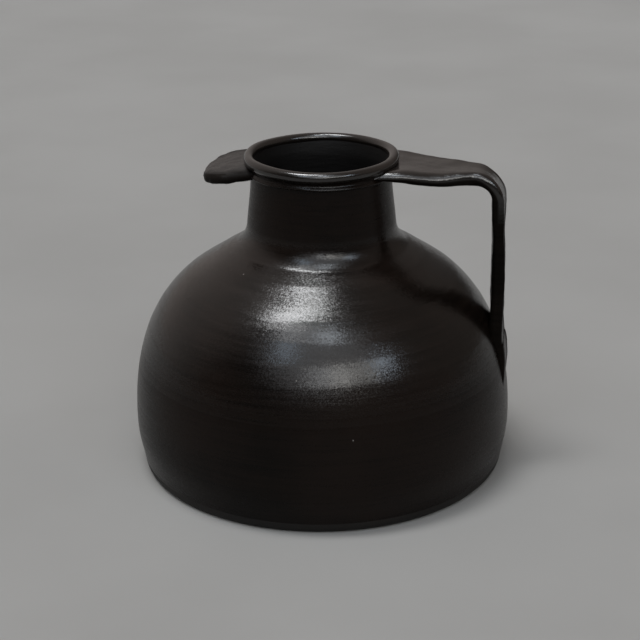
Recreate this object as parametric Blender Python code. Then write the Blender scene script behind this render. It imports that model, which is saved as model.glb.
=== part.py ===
"""One-handled jug of burnished black clay, as the pieces that its potter joins with slip.

Lengths are metres and +Z is up. The origin is the middle of the resting face, the strap handle
lies on +X and the grip lug opposite it on -X. A profile point is (radius, height).
"""

import math

import bmesh
import bpy
import numpy as np

# Outside of the pot, from the foot up
BELLY_RADIUS = 0.1625
BELLY_HEIGHT = 0.0447
FOOT_TUCK = 0.0053  # how far the foot draws in from the belly
FOOT_EDGE = 0.006  # height of the rounded lower edge
FOOT_ROUND = 0.005  # how far that edge draws in
FOOT_FLARE = math.radians(9.0)  # outward lean of the wall above the foot
SHOULDER_RADIUS = 0.1012  # where the dome meets the straight slope under the neck
SHOULDER_RISE = 0.1327  # belly to that place
NECK_ROOT_RISE = 0.0242  # from there to the neck's root
NECK_RADIUS = 0.0589  # narrowest place of the neck
NECK_TAPER = 0.0051  # how much wider the neck is at its root
NECK_RISE = 0.0564  # root to narrowest place
NECK_FILLET = 0.0135  # length of the soft corner on each side of the root

# How full the curves are, as the share of their length or height that each tangent spans
FOOT_FULLNESS = 0.434
DOME_FULLNESS = 0.697
SHOULDER_FULLNESS = 0.166
FILLET_FULLNESS = 0.715
NECK_FULLNESS = 0.333
FLARE_FULLNESS = 0.5
EDGE_FULLNESS = 0.5
COIL_FULLNESS = 0.55
TONGUE_FULLNESS = 0.333

# Rim coil and neck cordon
RIM_RISE = 0.0111  # narrowest place of the neck to the middle of the rim coil
RIM_OVERHANG = 0.0014  # how far the middle of the rim coil lies outside the neck
RIM_TUBE = 0.0045  # radius of the coil itself
CORDON_RISE = 0.0015  # narrowest place of the neck to the middle of the cordon
CORDON_HALF_HEIGHT = 0.003
CORDON_PROUD = 0.0022

# Walls, courses and joints
FLOOR_THICKNESS = 0.009
BODY_WALL = 0.008
NECK_WALL = 0.005
FOOT_COURSE = 0.043  # height of each wall course, from the floor up
BELLY_COURSE = 0.048
DOME_COURSE = 0.047
NECK_SEAM_RISE = 0.002  # the neck starts this far above its root
SCARF = 0.004  # how far each joint slants down towards the inside
FILLET_COIL = 0.014  # legs of the coil pressed into the inner corner of the floor
FILLET_COIL_EDGE = 0.001
SLIP_GAP = 0.0003  # joint line between two pieces

# Strap handle
STRAP_DROP = 0.0003  # top of the strap below the middle of the rim coil
STRAP_FALL = 0.0046  # fall of the arm from the neck to the corner
STRAP_THICKNESS = 0.013
STRAP_DISH = 0.0015  # hollow of the outer face between its two edges
STRAP_ROOT_WIDTH = 0.071
GRIP_WIDTH = 0.036
TONGUE_WIDTH = 0.047
GRIP_INSET = 0.014  # middle of the grip inside the belly's radius, at the corner
GRIP_LEAN = 0.0035  # outward lean of the grip on its way down
CORNER_RADIUS = 0.02
TONGUE_LENGTH = 0.04  # run of the pressed-on end along the wall
TONGUE_SINK = 0.0072  # depth at which that end stops in the wall
ARM_TAPER = 1.7  # exponent of the arm's narrowing
STRAP_SQUARENESS = 4.0  # exponent of its squarish section

# Grip lug
LUG_DROP = 0.0029  # top of the lug's root below the middle of the rim coil
LUG_FALL = 0.0064  # fall of the lug from the neck to its tip
LUG_LENGTH = 0.0403  # reach of the tip from the neck
LUG_WIDTH = 0.073
LUG_THICKNESS = 0.0135
LUG_DISH = 0.0018  # how far its two edges are drawn up
LUG_PLAN = 2.7  # exponent of its rounded outline
LUG_SQUARENESS = 3.0  # exponent of its section
LUG_THINNING = 0.4  # exponent that ties its thickness to its width towards the tip
LUG_LAST_TURN = math.radians(86.0)  # the tip is closed just short of its end

# Clay colours and gloss
WALL_BLACK = (0.018, 0.015, 0.0135)
INNER_BLACK = (0.013, 0.011, 0.010)
HANDLED_BROWN = (0.030, 0.025, 0.022)
RAW = 0.58  # roughness of unpolished, rubbed and burnished clay
RUBBED = 0.42
BURNISHED = 0.34

# Fineness of the facets
TURN_STEPS = 48
RIM_SIDES = 14
SEAT_STEPS = 5
FLARE_STEPS = 3
NECK_STEPS = 4
ROOT_STEPS = 5
DOME_STEPS = 12
FOOT_STEPS = 4
EDGE_STEPS = 3
CORDON_STEPS = 6
COIL_STEPS = 4
LIP_STEPS = 6
ARM_STATIONS = 9
CORNER_STATIONS = 9
GRIP_STATIONS = 8
TONGUE_STATIONS = 6
LUG_STATIONS = 11
SECTION_POINTS = 20
SHORTEST_EDGE = 0.0015
SHARP_ANGLE = math.radians(40.0)
MERGE_DISTANCE = 1e-5
ROOT_LAP = 0.004  # how far the handle and the lug start inside the neck before they are cut

# Heights and radii that follow
SHOULDER_HEIGHT = BELLY_HEIGHT + SHOULDER_RISE
NECK_ROOT_HEIGHT = SHOULDER_HEIGHT + NECK_ROOT_RISE
WAIST_HEIGHT = NECK_ROOT_HEIGHT + NECK_RISE
RIM_HEIGHT = WAIST_HEIGHT + RIM_RISE
CORDON_HEIGHT = WAIST_HEIGHT + CORDON_RISE
FOOT_RADIUS = BELLY_RADIUS - FOOT_TUCK
NECK_ROOT_RADIUS = NECK_RADIUS + NECK_TAPER
RIM_RADIUS = NECK_RADIUS + RIM_OVERHANG
RIM_SEAT = RIM_TUBE + SLIP_GAP

# Edges of the rim coil's seat and of the lip above it, as angles round the coil
SEAT_INSIDE = math.radians(195.0)
SEAT_OUTSIDE = math.radians(285.0)
SEAT_FLARE = math.radians(37.0)  # lean of the neck where it meets the seat
LIP_TOP = math.radians(90.0)
LIP_BOTTOM = math.radians(-60.0)

UP = np.array((0.0, 1.0))


def unit(vector):
    return vector / np.linalg.norm(vector)


def leaning(angle):
    """Direction that points up and leans outward by the angle."""
    return np.array((math.sin(angle), math.cos(angle)))


def curve(start, leave, arrive, end, steps):
    """Points of a cubic curve after its start; leave and arrive are its tangent arms."""
    t = np.linspace(0.0, 1.0, steps + 1)[1:, None]
    first = start + leave
    second = end - arrive
    return list(
        (1 - t) ** 3 * start + 3 * (1 - t) ** 2 * t * first + 3 * (1 - t) * t**2 * second + t**3 * end
    )


def rim_point(angle, radius):
    """Point round the middle of the rim coil."""
    return np.array((RIM_RADIUS + radius * math.cos(angle), RIM_HEIGHT + radius * math.sin(angle)))


def outside_line():
    """Outside of the wall, from the rim coil's seat down to the resting face."""
    seat = rim_point(SEAT_OUTSIDE, RIM_SEAT)
    waist = np.array((NECK_RADIUS, WAIST_HEIGHT))
    root = np.array((NECK_ROOT_RADIUS, NECK_ROOT_HEIGHT))
    shoulder = np.array((SHOULDER_RADIUS, SHOULDER_HEIGHT))
    belly = np.array((BELLY_RADIUS, BELLY_HEIGHT))
    foot = np.array((FOOT_RADIUS, FOOT_EDGE))
    rest = np.array((FOOT_RADIUS - FOOT_ROUND, 0.0))

    down_neck = unit(root - waist)
    down_shoulder = unit(shoulder - root)
    neck_end = root - down_neck * NECK_FILLET
    shoulder_start = root + down_shoulder * NECK_FILLET
    flare_arm = FLARE_FULLNESS * (seat[1] - WAIST_HEIGHT)
    neck_arm = NECK_FULLNESS * (WAIST_HEIGHT - neck_end[1])
    fillet_arm = FILLET_FULLNESS * NECK_FILLET
    shoulder_arm = SHOULDER_FULLNESS * SHOULDER_RISE
    dome_arm = DOME_FULLNESS * SHOULDER_RISE
    foot_arm = FOOT_FULLNESS * (BELLY_HEIGHT - FOOT_EDGE)
    edge_arm = EDGE_FULLNESS * FOOT_ROUND

    line = [seat]
    line += curve(seat, -leaning(SEAT_FLARE) * flare_arm, -UP * flare_arm, waist, FLARE_STEPS)
    line += curve(waist, -UP * neck_arm, down_neck * neck_arm, neck_end, NECK_STEPS)
    line += curve(neck_end, down_neck * fillet_arm, down_shoulder * fillet_arm, shoulder_start, ROOT_STEPS)
    line += [shoulder]
    line += curve(shoulder, down_shoulder * shoulder_arm, -UP * dome_arm, belly, DOME_STEPS)
    line += curve(belly, -UP * foot_arm, -leaning(FOOT_FLARE) * foot_arm, foot, FOOT_STEPS)
    line += curve(foot, -leaning(FOOT_FLARE) * edge_arm, np.array((-edge_arm, 0.0)), rest, EDGE_STEPS)
    return np.array(line)


def inward(line):
    """Unit normals of a line that runs down the outside, pointing into the wall."""
    tangent = np.gradient(line, axis=0)
    tangent /= np.linalg.norm(tangent, axis=1, keepdims=True)
    return np.stack((tangent[:, 1], -tangent[:, 0]), axis=1)


def wall_thickness(height):
    """Body wall up to the shoulder, thinning evenly to the neck's wall at its root."""
    share = np.clip((height - SHOULDER_HEIGHT) / NECK_ROOT_RISE, 0.0, 1.0)
    return BODY_WALL + (NECK_WALL - BODY_WALL) * share


OUTSIDE = outside_line()
NORMALS = inward(OUTSIDE)
INSIDE = OUTSIDE + NORMALS * wall_thickness(OUTSIDE[:, 1])[:, None]
CUT_LINE = OUTSIDE - NORMALS * SLIP_GAP
RUNS = np.concatenate(((0.0,), np.cumsum(np.linalg.norm(np.diff(OUTSIDE, axis=0), axis=1))))


def at(line, run):
    """Point of a wall line at a run, which is measured down the outside from the rim's seat."""
    return np.array((np.interp(run, RUNS, line[:, 0]), np.interp(run, RUNS, line[:, 1])))


def run_at_height(line, height):
    return float(np.interp(-height, -line[:, 1], RUNS))


def stretch(line, top, bottom):
    """Points of a wall line between two runs, from the top one down."""
    inner = (RUNS > top + SHORTEST_EDGE) & (RUNS < bottom - SHORTEST_EDGE)
    return [at(line, top)] + list(line[inner]) + [at(line, bottom)]


def outside_radius(height):
    return at(OUTSIDE, run_at_height(OUTSIDE, height))[0]


def clay(name, colour, roughness):
    material = bpy.data.materials.new(name)
    material.use_nodes = True
    shader = material.node_tree.nodes["Principled BSDF"]
    shader.inputs["Base Color"].default_value = (*colour, 1.0)
    shader.inputs["Roughness"].default_value = roughness
    shader.inputs["Metallic"].default_value = 0.0
    return material


def add_object(name, shape):
    """Object from a bmesh, shaded smooth up to its real edges."""
    bmesh.ops.recalc_face_normals(shape, faces=shape.faces)
    mesh = bpy.data.meshes.new(name)
    shape.to_mesh(mesh)
    shape.free()
    mesh.shade_smooth()
    mesh.set_sharp_from_angle(angle=SHARP_ANGLE)
    piece = bpy.data.objects.new(name, mesh)
    bpy.context.scene.collection.objects.link(piece)
    return piece


def add_piece(name, shape, colour, roughness):
    piece = add_object(name, shape)
    piece.data.materials.append(clay(name + "_clay", colour, roughness))
    return piece


def turned(section):
    """Solid of revolution about Z from a closed section of (radius, height) points."""
    shape = bmesh.new()
    verts = [shape.verts.new((radius, 0.0, height)) for radius, height in section]
    edges = [shape.edges.new((verts[i - 1], verts[i])) for i in range(len(verts))]
    bmesh.ops.spin(
        shape,
        geom=verts + edges,
        cent=(0.0, 0.0, 0.0),
        axis=(0.0, 0.0, 1.0),
        angle=2 * math.pi,
        steps=TURN_STEPS,
        use_merge=True,
    )
    bmesh.ops.remove_doubles(shape, verts=shape.verts, dist=MERGE_DISTANCE)
    bmesh.ops.dissolve_degenerate(shape, dist=MERGE_DISTANCE, edges=shape.edges)
    return shape


def lofted(rings):
    """Closed solid of flat facets through rings of equally many points, with strips across each end."""
    shape = bmesh.new()
    loops = [[shape.verts.new(point) for point in ring] for ring in rings]
    for low, high in zip(loops, loops[1:]):
        for i in range(len(low)):
            shape.faces.new((low[i - 1], low[i], high[i], high[i - 1]))
    for loop in (loops[0], loops[-1]):
        for i in range(len(loop) // 2):
            strip = (loop[i], loop[i + 1], loop[-i - 1], loop[-i])
            shape.faces.new(tuple(dict.fromkeys(strip)))
    bmesh.ops.triangulate(shape, faces=shape.faces)
    return shape


def rounded_section(width, thickness, squareness):
    """Squarish oval as (across, through) points."""
    points = []
    for i in range(SECTION_POINTS):
        angle = 2 * math.pi * i / SECTION_POINTS
        across = math.copysign(abs(math.cos(angle)) ** (2 / squareness), math.cos(angle))
        through = math.copysign(abs(math.sin(angle)) ** (2 / squareness), math.sin(angle))
        points.append((across * width / 2, through * thickness / 2))
    return points


def seam(height):
    """Runs of a joint at the outside and, lower by the scarf, at the inside."""
    run = run_at_height(OUTSIDE, height)
    return np.array((run, run + SCARF))


def wall_course(top, bottom):
    """Section of a wall course between the outside and inside runs of its two ends."""
    return stretch(OUTSIDE, top[0], bottom[0]) + stretch(INSIDE, top[1], bottom[1])[::-1]


def floor_section():
    side = stretch(OUTSIDE, run_at_height(OUTSIDE, FLOOR_THICKNESS), RUNS[-1])
    return side + [np.array((0.0, 0.0)), np.array((0.0, FLOOR_THICKNESS))]


def fillet_coil_section():
    """Coil in the inner corner of the floor, with a hollow face towards the cavity."""
    low = FLOOR_THICKNESS + SLIP_GAP
    top_run = run_at_height(INSIDE, low + FILLET_COIL)
    wall = stretch(INSIDE, top_run, run_at_height(INSIDE, low))
    section = [point - np.array((SLIP_GAP, 0.0)) for point in wall]
    toe = section[-1] - np.array((FILLET_COIL, 0.0))
    section.append(toe)
    start = toe + UP * FILLET_COIL_EDGE
    end = section[0] - np.array((FILLET_COIL_EDGE, 0.0))
    arm = COIL_FULLNESS * (FILLET_COIL - FILLET_COIL_EDGE)
    return section + [start] + curve(start, np.array((arm, 0.0)), UP * arm, end, COIL_STEPS)


def neck_section(bottom):
    """Neck, with the hollow seat of the rim coil as its top."""
    waist_run = run_at_height(OUTSIDE, WAIST_HEIGHT)
    inner = stretch(INSIDE, waist_run, bottom[1])[::-1]
    angles = np.linspace(SEAT_INSIDE, SEAT_OUTSIDE, SEAT_STEPS + 1)[:-1]
    seat = [rim_point(angle, RIM_SEAT) for angle in angles]
    return stretch(OUTSIDE, 0.0, bottom[0]) + inner + seat


def cordon_section(clearance):
    """Half-round band on the neck; the clearance grows it on every side but its back."""
    section = []
    for i in range(CORDON_STEPS + 1):
        angle = math.pi / 2 - math.pi * i / CORDON_STEPS
        height = CORDON_HEIGHT + (CORDON_HALF_HEIGHT + clearance) * math.sin(angle)
        proud = (CORDON_PROUD + clearance) * math.cos(angle)
        section.append(np.array((outside_radius(height) + SLIP_GAP + proud, height)))
    back = [np.array((outside_radius(CORDON_HEIGHT) + SLIP_GAP, CORDON_HEIGHT))]
    return section + back


def rim_section():
    angles = [math.pi / 2 - 2 * math.pi * i / RIM_SIDES for i in range(RIM_SIDES)]
    return [rim_point(angle, RIM_TUBE) for angle in angles]


def pot_cutter_section():
    """Filled outside of the pot with its rim, larger by the joint line."""
    lip = [rim_point(angle, RIM_SEAT) for angle in np.linspace(LIP_TOP, LIP_BOTTOM, LIP_STEPS + 1)]
    top = [np.array((0.0, RIM_HEIGHT + RIM_SEAT))]
    return top + lip + list(CUT_LINE) + [np.array((0.0, 0.0))]


def cutter_body_of_cordon():
    """The cordon's space with a back that reaches into the wall."""
    section = cordon_section(SLIP_GAP)[:-1]
    deep = NECK_RADIUS - NECK_WALL
    return section + [np.array((deep, section[-1][1])), np.array((deep, section[0][1]))]


def inside_neck(width):
    """Radius at which a band of this width, square to the neck, starts inside it."""
    return math.sqrt(NECK_RADIUS**2 - (width / 2) ** 2) - ROOT_LAP


def strap_path():
    """Middle line of the strap: arm, corner, grip and pressed-on tongue, as four lists of points."""
    arm_height = RIM_HEIGHT - STRAP_DROP - STRAP_THICKNESS / 2
    grip_radius = BELLY_RADIUS - GRIP_INSET
    start = np.array((inside_neck(STRAP_ROOT_WIDTH), arm_height))
    corner_start = np.array((grip_radius - CORNER_RADIUS, arm_height - STRAP_FALL))
    arm = [start + (corner_start - start) * share for share in np.linspace(0.0, 1.0, ARM_STATIONS)]

    middle = corner_start - UP * CORNER_RADIUS
    turn = np.linspace(math.pi / 2, 0.0, CORNER_STATIONS)[1:]
    corner = [middle + CORNER_RADIUS * np.array((math.cos(a), math.sin(a))) for a in turn]

    dome = np.searchsorted(-OUTSIDE[:, 1], -BELLY_HEIGHT) + 1
    landing_radius = grip_radius + GRIP_LEAN
    landing_run = float(np.interp(landing_radius, OUTSIDE[:dome, 0], RUNS[:dome]))
    landing = np.array((landing_radius, at(OUTSIDE, landing_run)[1]))
    shares = np.linspace(0.0, 1.0, GRIP_STATIONS)[1:]
    grip = [corner[-1] + (landing - corner[-1]) * share for share in shares]

    end_run = landing_run + TONGUE_LENGTH
    along = unit(at(OUTSIDE, end_run) - at(OUTSIDE, end_run - SHORTEST_EDGE))
    end = at(OUTSIDE, end_run) + TONGUE_SINK * np.array((along[1], -along[0]))
    reach = TONGUE_FULLNESS * TONGUE_LENGTH
    tongue = curve(landing, unit(landing - corner[-1]) * reach, along * reach, end, TONGUE_STATIONS)
    return arm, corner, grip, tongue


def strap_spread(arm, corner, grip, tongue):
    """Width at each point, and how far the strap is pressed to the round wall there, from 0 to 1."""
    narrowing = np.linspace(0.0, 1.0, len(arm)) ** ARM_TAPER
    arm_widths = STRAP_ROOT_WIDTH + (GRIP_WIDTH - STRAP_ROOT_WIDTH) * narrowing
    free = len(corner) + len(grip) // 2
    spreading = len(grip) - len(grip) // 2 + len(tongue)
    pressed = (1 - np.cos(np.linspace(0.0, math.pi, spreading + 1)[1:])) / 2
    pressed = np.concatenate((np.zeros(free), pressed))
    widths = np.concatenate((arm_widths, GRIP_WIDTH + (TONGUE_WIDTH - GRIP_WIDTH) * pressed))
    return zip(widths, np.concatenate((np.zeros(len(arm)), pressed)))


def strap_rings():
    """Strap with a dished outer face, whose end bends round the wall as it is pressed on."""
    stretches = strap_path()
    path = np.array([point for part in stretches for point in part])
    rings = []
    for point, normal, (width, pressed) in zip(path, inward(path), strap_spread(*stretches)):
        ring = []
        for across, through in rounded_section(width, STRAP_THICKNESS, STRAP_SQUARENESS):
            outer = max(-through, 0.0) / (STRAP_THICKNESS / 2)
            dish = STRAP_DISH * (1 - pressed) * outer * (1 - (2 * across / width) ** 2)
            place = point + normal * (through + dish)
            bend = place[0] - math.sqrt(max(place[0] ** 2 - across**2, 0.0))
            ring.append((place[0] - pressed * bend, across, place[1]))
        rings.append(ring)
    return rings


def lug_rings():
    """Dished tongue with a rounded outline, falling a little towards its tip."""
    start = inside_neck(LUG_WIDTH)
    tip = NECK_RADIUS + LUG_LENGTH
    rings = []
    for turn in np.linspace(0.0, LUG_LAST_TURN, LUG_STATIONS):
        reach = math.sin(turn)
        radius = start + (tip - start) * reach
        plan = (1 - reach**LUG_PLAN) ** (1 / LUG_PLAN)
        thickness = LUG_THICKNESS * plan**LUG_THINNING
        fall = LUG_FALL * max(radius - NECK_RADIUS, 0.0) / LUG_LENGTH
        middle = RIM_HEIGHT - LUG_DROP - LUG_THICKNESS / 2 - fall
        ring = []
        for across, through in rounded_section(LUG_WIDTH * plan, thickness, LUG_SQUARENESS):
            dish = LUG_DISH * (2 * across / LUG_WIDTH) ** 2
            ring.append((-radius, across, middle + through + dish))
        rings.append(ring)
    return rings


def cut(piece, cutters):
    for cutter in cutters:
        seat = piece.modifiers.new("seat_" + cutter.name, "BOOLEAN")
        seat.operation = "DIFFERENCE"
        seat.solver = "EXACT"
        seat.object = cutter


def add_cutter(name, section):
    cutter = add_object(name, turned(section))
    cutter.hide_render = True
    cutter.display_type = "WIRE"
    return cutter


def main():
    for old in list(bpy.data.objects):
        bpy.data.objects.remove(old, do_unlink=True)

    foot_seam = seam(FLOOR_THICKNESS + FOOT_COURSE)
    belly_seam = seam(FLOOR_THICKNESS + FOOT_COURSE + BELLY_COURSE)
    dome_seam = seam(FLOOR_THICKNESS + FOOT_COURSE + BELLY_COURSE + DOME_COURSE)
    neck_seam = seam(NECK_ROOT_HEIGHT + NECK_SEAM_RISE)
    on_floor = FLOOR_THICKNESS + SLIP_GAP
    floor_seam = (run_at_height(OUTSIDE, on_floor), run_at_height(INSIDE, on_floor))

    sections = [
        ("floor_slab", floor_section(), WALL_BLACK, RAW),
        ("floor_fillet_coil", fillet_coil_section(), INNER_BLACK, RAW),
        ("foot_course", wall_course(foot_seam, floor_seam), WALL_BLACK, RUBBED),
        ("belly_course", wall_course(belly_seam, foot_seam - SLIP_GAP), WALL_BLACK, RUBBED),
        ("dome_course", wall_course(dome_seam, belly_seam - SLIP_GAP), WALL_BLACK, BURNISHED),
        ("shoulder_course", wall_course(neck_seam, dome_seam - SLIP_GAP), WALL_BLACK, BURNISHED),
        ("neck_course", neck_section(neck_seam - SLIP_GAP), WALL_BLACK, RUBBED),
        ("neck_cordon", cordon_section(0.0), WALL_BLACK, RUBBED),
        ("rim_coil", rim_section(), HANDLED_BROWN, BURNISHED),
    ]
    pieces = [add_piece(name, turned(section), colour, gloss) for name, section, colour, gloss in sections]

    strap = add_piece("handle_strap", lofted(strap_rings()), HANDLED_BROWN, BURNISHED)
    lug = add_piece("grip_lug", lofted(lug_rings()), HANDLED_BROWN, RUBBED)
    cutters = [
        add_cutter("cordon_cutter", cutter_body_of_cordon()),
        add_cutter("pot_cutter", pot_cutter_section()),
    ]
    cut(strap, cutters)
    cut(lug, cutters)

    jug = bpy.data.objects.new("jug", None)
    bpy.context.scene.collection.objects.link(jug)
    for piece in pieces + [strap, lug] + cutters:
        piece.parent = jug


main()
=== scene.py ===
"""Looks of a one-handled jug of black clay: hand-worked walls, burnished clay, floor, light, camera.

Lengths are metres in the frame of the solids: +Z is up, the strap handle lies on +X and the grip
lug on -X. A profile point is (radius, height). A run is measured down the outside of the wall
from the rim's seat, a turn is the angle round the jug's axis, and a share goes from 0 to 1.
"""

import math
from typing import NamedTuple

import bmesh
import bpy
import numpy as np
from mathutils import Matrix, Vector, noise


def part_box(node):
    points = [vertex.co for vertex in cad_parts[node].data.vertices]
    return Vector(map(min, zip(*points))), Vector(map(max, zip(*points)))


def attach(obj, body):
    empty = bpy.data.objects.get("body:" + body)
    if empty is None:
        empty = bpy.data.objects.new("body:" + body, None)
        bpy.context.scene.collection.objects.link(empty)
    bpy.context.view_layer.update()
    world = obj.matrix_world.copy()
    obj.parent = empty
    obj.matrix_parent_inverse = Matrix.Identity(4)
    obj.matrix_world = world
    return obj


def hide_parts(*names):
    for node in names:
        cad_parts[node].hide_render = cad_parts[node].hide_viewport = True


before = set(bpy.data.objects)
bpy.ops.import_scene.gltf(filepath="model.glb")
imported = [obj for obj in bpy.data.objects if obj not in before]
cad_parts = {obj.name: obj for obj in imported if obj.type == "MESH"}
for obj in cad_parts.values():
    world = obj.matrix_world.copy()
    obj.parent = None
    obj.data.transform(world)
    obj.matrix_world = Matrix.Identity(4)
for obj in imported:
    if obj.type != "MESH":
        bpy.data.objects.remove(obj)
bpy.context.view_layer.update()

# Outside of the pot, with the solids' own values
BELLY_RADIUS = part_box("foot_course")[1].x
BELLY_HEIGHT = 0.0447
FOOT_TUCK = 0.0053
FOOT_EDGE = 0.006
FOOT_ROUND = 0.005
FOOT_FLARE = math.radians(9.0)
SHOULDER_RADIUS = 0.1012
SHOULDER_RISE = 0.1327
NECK_ROOT_RISE = 0.0242
NECK_RADIUS = 0.0589
NECK_TAPER = 0.0051
NECK_RISE = 0.0564
NECK_FILLET = 0.0135
RIM_OVERHANG = 0.0014
CORDON_PROUD = 0.0022
BODY_WALL = 0.008
NECK_WALL = 0.005
SCARF = 0.004
SEAT_INSIDE = math.radians(195.0)
SEAT_OUTSIDE = math.radians(285.0)
SEAT_FLARE = math.radians(37.0)

# Tangent arms of the profile's curves, as shares of the curves' size
FOOT_FULLNESS = 0.434
DOME_FULLNESS = 0.697
SHOULDER_FULLNESS = 0.166
FILLET_FULLNESS = 0.715
NECK_FULLNESS = 1 / 3
STRAIGHT_FULLNESS = 1 / 3
FLARE_FULLNESS = 0.5
EDGE_FULLNESS = 0.5

# Places that the frame gives
FLOOR_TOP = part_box("floor_slab")[1].z
FOOT_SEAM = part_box("foot_course")[1].z
BELLY_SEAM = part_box("belly_course")[1].z
DOME_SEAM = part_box("dome_course")[1].z
NECK_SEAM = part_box("shoulder_course")[1].z
RIM_LOW, RIM_TOP = (corner.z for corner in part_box("rim_coil"))
CORDON_LOW, CORDON_TOP = (corner.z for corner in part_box("neck_cordon"))
COIL_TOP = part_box("floor_fillet_coil")[1].z
LUG_TIP = -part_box("grip_lug")[0].x

# Heights and radii that follow
SHOULDER_HEIGHT = BELLY_HEIGHT + SHOULDER_RISE
NECK_ROOT_HEIGHT = SHOULDER_HEIGHT + NECK_ROOT_RISE
WAIST_HEIGHT = NECK_ROOT_HEIGHT + NECK_RISE
FOOT_RADIUS = BELLY_RADIUS - FOOT_TUCK
RIM_HEIGHT = (RIM_LOW + RIM_TOP) / 2
RIM_TUBE = (RIM_TOP - RIM_LOW) / 2
RIM_RADIUS = NECK_RADIUS + RIM_OVERHANG

# Fineness of the surfaces
TURNS = 192
OUTSIDE_STEP = 0.0015
INSIDE_STEP = 0.004
LINE_STEPS = 300
RIM_SIDES = 28
CORDON_SIDES = 18
BAND_SIDES = 84
BAND_STEP = 0.002
LUG_STATIONS = 30
RING_SHARP = math.radians(28.0)  # edges of turned pieces that are sharper than this stay crisp
BAND_SHARP = math.radians(60.0)

# Marks of the maker's hands
RIDGES = (  # height, proudness, reach and lean of each turning ridge
    (0.1866, 0.00028, 0.0050, 0.000),
    (0.1670, 0.00030, 0.0060, 0.000),
    (0.1611, 0.00014, 0.0035, 0.002),
    (0.1538, 0.00022, 0.0050, 0.006),
    (0.1401, 0.00024, 0.0060, -0.007),
    (0.1237, 0.00022, 0.0060, -0.006),
    (0.1110, 0.00010, 0.0045, -0.003),
    (0.0880, 0.00006, 0.0050, 0.002),
    (0.0690, 0.00005, 0.0050, -0.002),
)
RIDGE_WANDER = 0.0006  # how far a ridge strays up and down
RIDGE_WAVES = (3, 4, 5)  # how often it does so round the jug, for one ridge after another
RIDGE_SHIFT = 2.4  # shift of these waves from one ridge to the next, as an angle
RIDGE_FADE = 0.15  # share by which a ridge grows and fades round the jug
RIDGE_FADE_SHIFT = 1.7
ROOT_SINK = 0.0014  # how far the shoulder sank at the front where the neck was pressed on
ROOT_SINK_REACH = 0.014
ROOT_SINK_HEIGHT = 0.1954
OUT_OF_ROUND = 0.0003
OUT_OF_ROUND_WAVES = (  # waves round the jug, share, phase and twist in a metre of height
    (2, 1.0, 0.6, 0.0),
    (3, 0.6, 2.1, 14.0),
    (5, 0.4, 1.3, -21.0),
)
NECK_DRIFT = 0.001  # how far the neck was set off the axis, towards the handle
RIM_WAVE = 0.0004
RIM_LIFTS = ((2, 1.0, 0.9), (5, 0.5, 0.0))  # waves round the jug, share and phase
RIM_SWELLS = ((3, 0.03, 1.0), (7, 0.02, 0.0))
CORDON_WAVE = 0.0004
CORDON_LIFTS = ((3, 1.0, 0.4), (7, 0.6, 2.0))
CORDON_SWELLS = ((5, 0.12, 1.1), (11, 0.10, 0.0))
CORDON_SAG = 2.0  # over 1, the cordon is fullest below its middle
JOIN_SINK = 0.0004  # how far one piece is pressed into the next
STRAP_DENTS = (0.0006, 0.020)  # depth and size of the dents left by pressing fingers
LUG_DENTS = (0.0009, 0.010)
DENT_NOISE = (1.0, 2.0, 3)  # fall-off, step in size and number of the dents' layers
LIP_WIDTH = 0.1  # width of a raised edge, as a share of the half width of its piece

# Strap handle: the arm runs out from its root, the grip runs down from the corner
STRAP_DROP = 0.0003
STRAP_FALL = 0.0046
STRAP_THICKNESS = 0.013
STRAP_ROOT_WIDTH = 0.071
STRAP_DISH = 0.0015
STRAP_LIP = 0.0011  # raised edge along the strap's back
STRAP_LIP_PLACE = 0.86  # share of the half width where that edge is
STRAP_BED = 0.0025  # depth of the strap's root in the neck
STRAP_FLATNESS = 9.0  # how flat its faces are, from 2 for an oval
ARM_ROUNDNESS = 1.25  # its edges are drawn out on the arm and squarer on the grip
GRIP_ROUNDNESS = 4.0
ARM_TAPER = 1.7
ARM_WIDTH_ROUNDS = 4
ROOT_LAP = 0.004
ROOT_BEND_SHARE = 0.5  # share of the arm that bends round with the neck
ROOT_THINNING = 0.003  # how much thinner the strap's root is, underneath
ROOT_THINNING_LENGTH = 0.03
ROOT_LIFT = 0.0022  # how far the root's back edge is drawn up to the rim
ROOT_LIFT_LENGTH = 0.035
EDGE_WAVE = 0.0011  # up and down of the arm's front edge
EDGE_WAVE_LENGTH = 0.055
EDGE_WAVE_LOW = 0.043  # place along the strap where that edge is lowest
CORNER_RADIUS = 0.0215
CORNER_THINNED = 0.0022  # how much thinner the corner is on its inside
CORNER_SLOPE = 0.0026  # how much lower the corner's back edge is
GRIP_WIDTH = 0.036
GRIP_INSET = 0.014
GRIP_LEAN = 0.0035
GRIP_PRESSED = (0.0010, 0.0006)  # how far the grip's outer and inner face are pressed in
GRIP_TWIST = math.radians(3.0)  # how far the grip's outer face is turned from straight out
GRIP_TWIST_START = 0.25  # share of the grip in which it turns
GRIP_WAVE = 0.0006  # unevenness of its outer face
GRIP_WAVES = 1.55  # number of such waves down the grip
GRIP_WAVE_PLACE = 0.57  # share of the grip where it is thickest
GRIP_WAVE_START = 0.2
GRIP_SPREAD = 0.4  # share of the tongue's widening that lies on the grip
GRIP_SPREAD_START = 0.5  # share of the grip from which it widens
LANDING_START = 0.6  # share of the grip from which it takes on the wall's bend
TONGUE_WIDTH = 0.047
TONGUE_LENGTH = 0.046
TONGUE_BED = 0.003  # depth of the tongue's back in the wall
TONGUE_SINK = 0.0008  # depth of its end in the wall

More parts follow.
